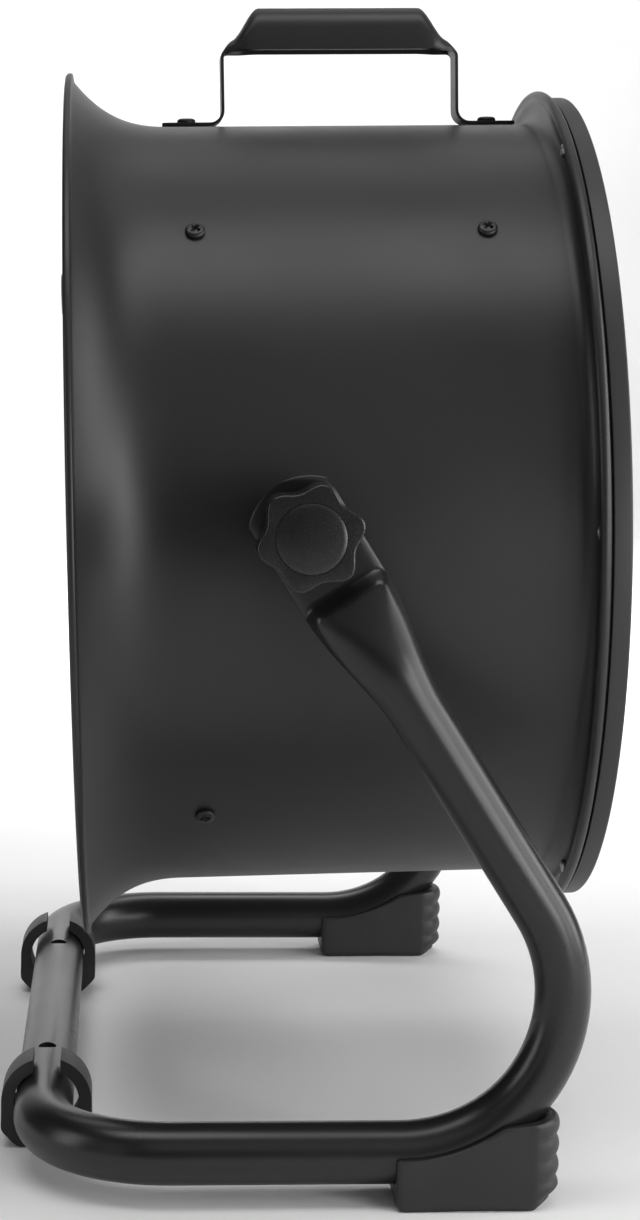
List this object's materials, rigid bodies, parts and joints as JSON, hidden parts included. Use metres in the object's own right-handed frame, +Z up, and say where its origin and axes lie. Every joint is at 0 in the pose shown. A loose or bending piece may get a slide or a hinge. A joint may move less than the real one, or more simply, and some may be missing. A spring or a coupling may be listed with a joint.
{
  "type": "axial air mover",
  "caption": "Drum fan with a ringed wire guard, carried between the legs of a bent-tube floor stand and tilted on two clamp knobs.",
  "frame": {"origin": "on the floor, under the middle of the object's bounding box", "axes": "+Z up, +X the way the air leaves the drum (the ringed outlet), +Y to the air mover's left"},
  "size_m": [0.2822, 0.4732, 0.5348],
  "materials": {
    "drum_coat": "satin charcoal powder coat with a fine grain",
    "tube_coat": "satin dark grey powder coat",
    "handle_coat": "satin near-black coat",
    "guard_coat": "semi-gloss black coat",
    "foot_rubber": "matte black rubber",
    "knob_plastic": "moulded black plastic, slightly glossy edges",
    "box_plastic": "moulded black plastic",
    "black_screws": "black oxide",
    "zinc_parts": "bright zinc plate",
    "black_bracket": "black coat",
    "blade_metal": "rolled aluminium sheet",
    "motor_coat": "black coat",
    "laminations": "varnished laminated steel",
    "capacitor_case": "pale moulded case"
  },
  "bodies": {
    "stand": {"stand_tube": "tube_coat", "boot_right": "foot_rubber", "boot_left": "foot_rubber", "clip_foot_right": "foot_rubber", "clip_foot_left": "foot_rubber"},
    "drum_unit": {"drum_shell": "drum_coat", "carry_handle": "handle_coat", "handle_screw_rear": "black_screws", "handle_screw_front": "black_screws", "rear_wall_screw_1": "black_screws", "rear_wall_screw_2": "black_screws", "rear_wall_screw_3": "black_screws", "rear_wall_screw_4": "black_screws", "front_wall_screw_1": "black_screws", "front_wall_screw_2": "black_screws", "front_wall_screw_3": "black_screws", "front_wall_screw_4": "black_screws", "guard_band": "guard_coat", "front_guard": "guard_coat", "front_badge": "knob_plastic", "guard_bracket_1": "black_bracket", "guard_bracket_2": "black_bracket", "guard_bracket_3": "black_bracket", "guard_bracket_4": "black_bracket", "rear_guard": "guard_coat", "motor_rear_cover": "motor_coat", "motor_front_cover": "motor_coat", "stator": "laminations", "rear_bearing": "zinc_parts", "front_bearing": "zinc_parts", "motor_bracket": "black_bracket", "switch_box": "box_plastic", "switch_box_lid": "box_plastic", "rotary_switch": "box_plastic", "run_capacitor": "capacitor_case", "cord_gland": "box_plastic", "pivot_boss_right": "black_bracket", "pivot_boss_left": "black_bracket", "friction_washer_right": "foot_rubber", "friction_washer_left": "foot_rubber", "pivot_plate_right": "zinc_parts", "pivot_plate_left": "zinc_parts", "pivot_nut_right": "zinc_parts", "pivot_nut_left": "zinc_parts"},
    "rotor": {"motor_shaft": "zinc_parts", "rotor_core": "laminations", "fan_hub": "blade_metal", "fan_spider": "zinc_parts", "fan_blade_1": "blade_metal", "fan_blade_2": "blade_metal", "fan_blade_3": "blade_metal", "fan_blade_4": "blade_metal"},
    "speed_control": {"speed_knob": "knob_plastic", "speed_knob_stem": "zinc_parts"},
    "clamp_right": {"knob_washer_right": "zinc_parts"},
    "clamp_left": {"knob_washer_left": "zinc_parts"},
    "knob_right": {"tilt_knob_right": "knob_plastic", "knob_stud_right": "zinc_parts"},
    "knob_left": {"tilt_knob_left": "knob_plastic", "knob_stud_left": "zinc_parts"}
  },
  "joints": [
    {"name": "drum_tilt", "type": "hinge", "parent": "stand", "child": "drum_unit", "pos_m": [-0.00687, 0, 0.2909], "axis": [0, 1, 0], "range_deg": [-75, 90]},
    {"name": "fan_spin", "type": "hinge", "parent": "drum_unit", "child": "rotor", "pos_m": [-0.00747, 0, 0.28758], "axis": [0.9996, 0, 0.0291], "continuous": true},
    {"name": "speed_turn", "type": "hinge", "parent": "drum_unit", "child": "speed_control", "pos_m": [-0.11051, 0, 0.39032], "axis": [0.9996, 0, 0.0291], "range_deg": [0, 120]},
    {"name": "clamp_travel_right", "type": "slide", "parent": "drum_unit", "child": "clamp_right", "axis": [0, -1, 0], "range_m": [0, 0.00187]},
    {"name": "knob_turn_right", "type": "hinge", "parent": "clamp_right", "child": "knob_right", "pos_m": [-0.00687, 0, 0.2909], "axis": [0, -1, 0], "range_deg": [0, 540]},
    {"name": "clamp_travel_left", "type": "slide", "parent": "drum_unit", "child": "clamp_left", "axis": [0, 1, 0], "range_m": [0, 0.00187]},
    {"name": "knob_turn_left", "type": "hinge", "parent": "clamp_left", "child": "knob_left", "pos_m": [-0.00687, 0, 0.2909], "axis": [0, 1, 0], "range_deg": [0, 540]}
  ],
  "couplings": [
    {"joint": "clamp_travel_right", "follows": "knob_turn_right", "m_per_rad": 0.00019894},
    {"joint": "clamp_travel_left", "follows": "knob_turn_left", "m_per_rad": 0.00019894}
  ]
}
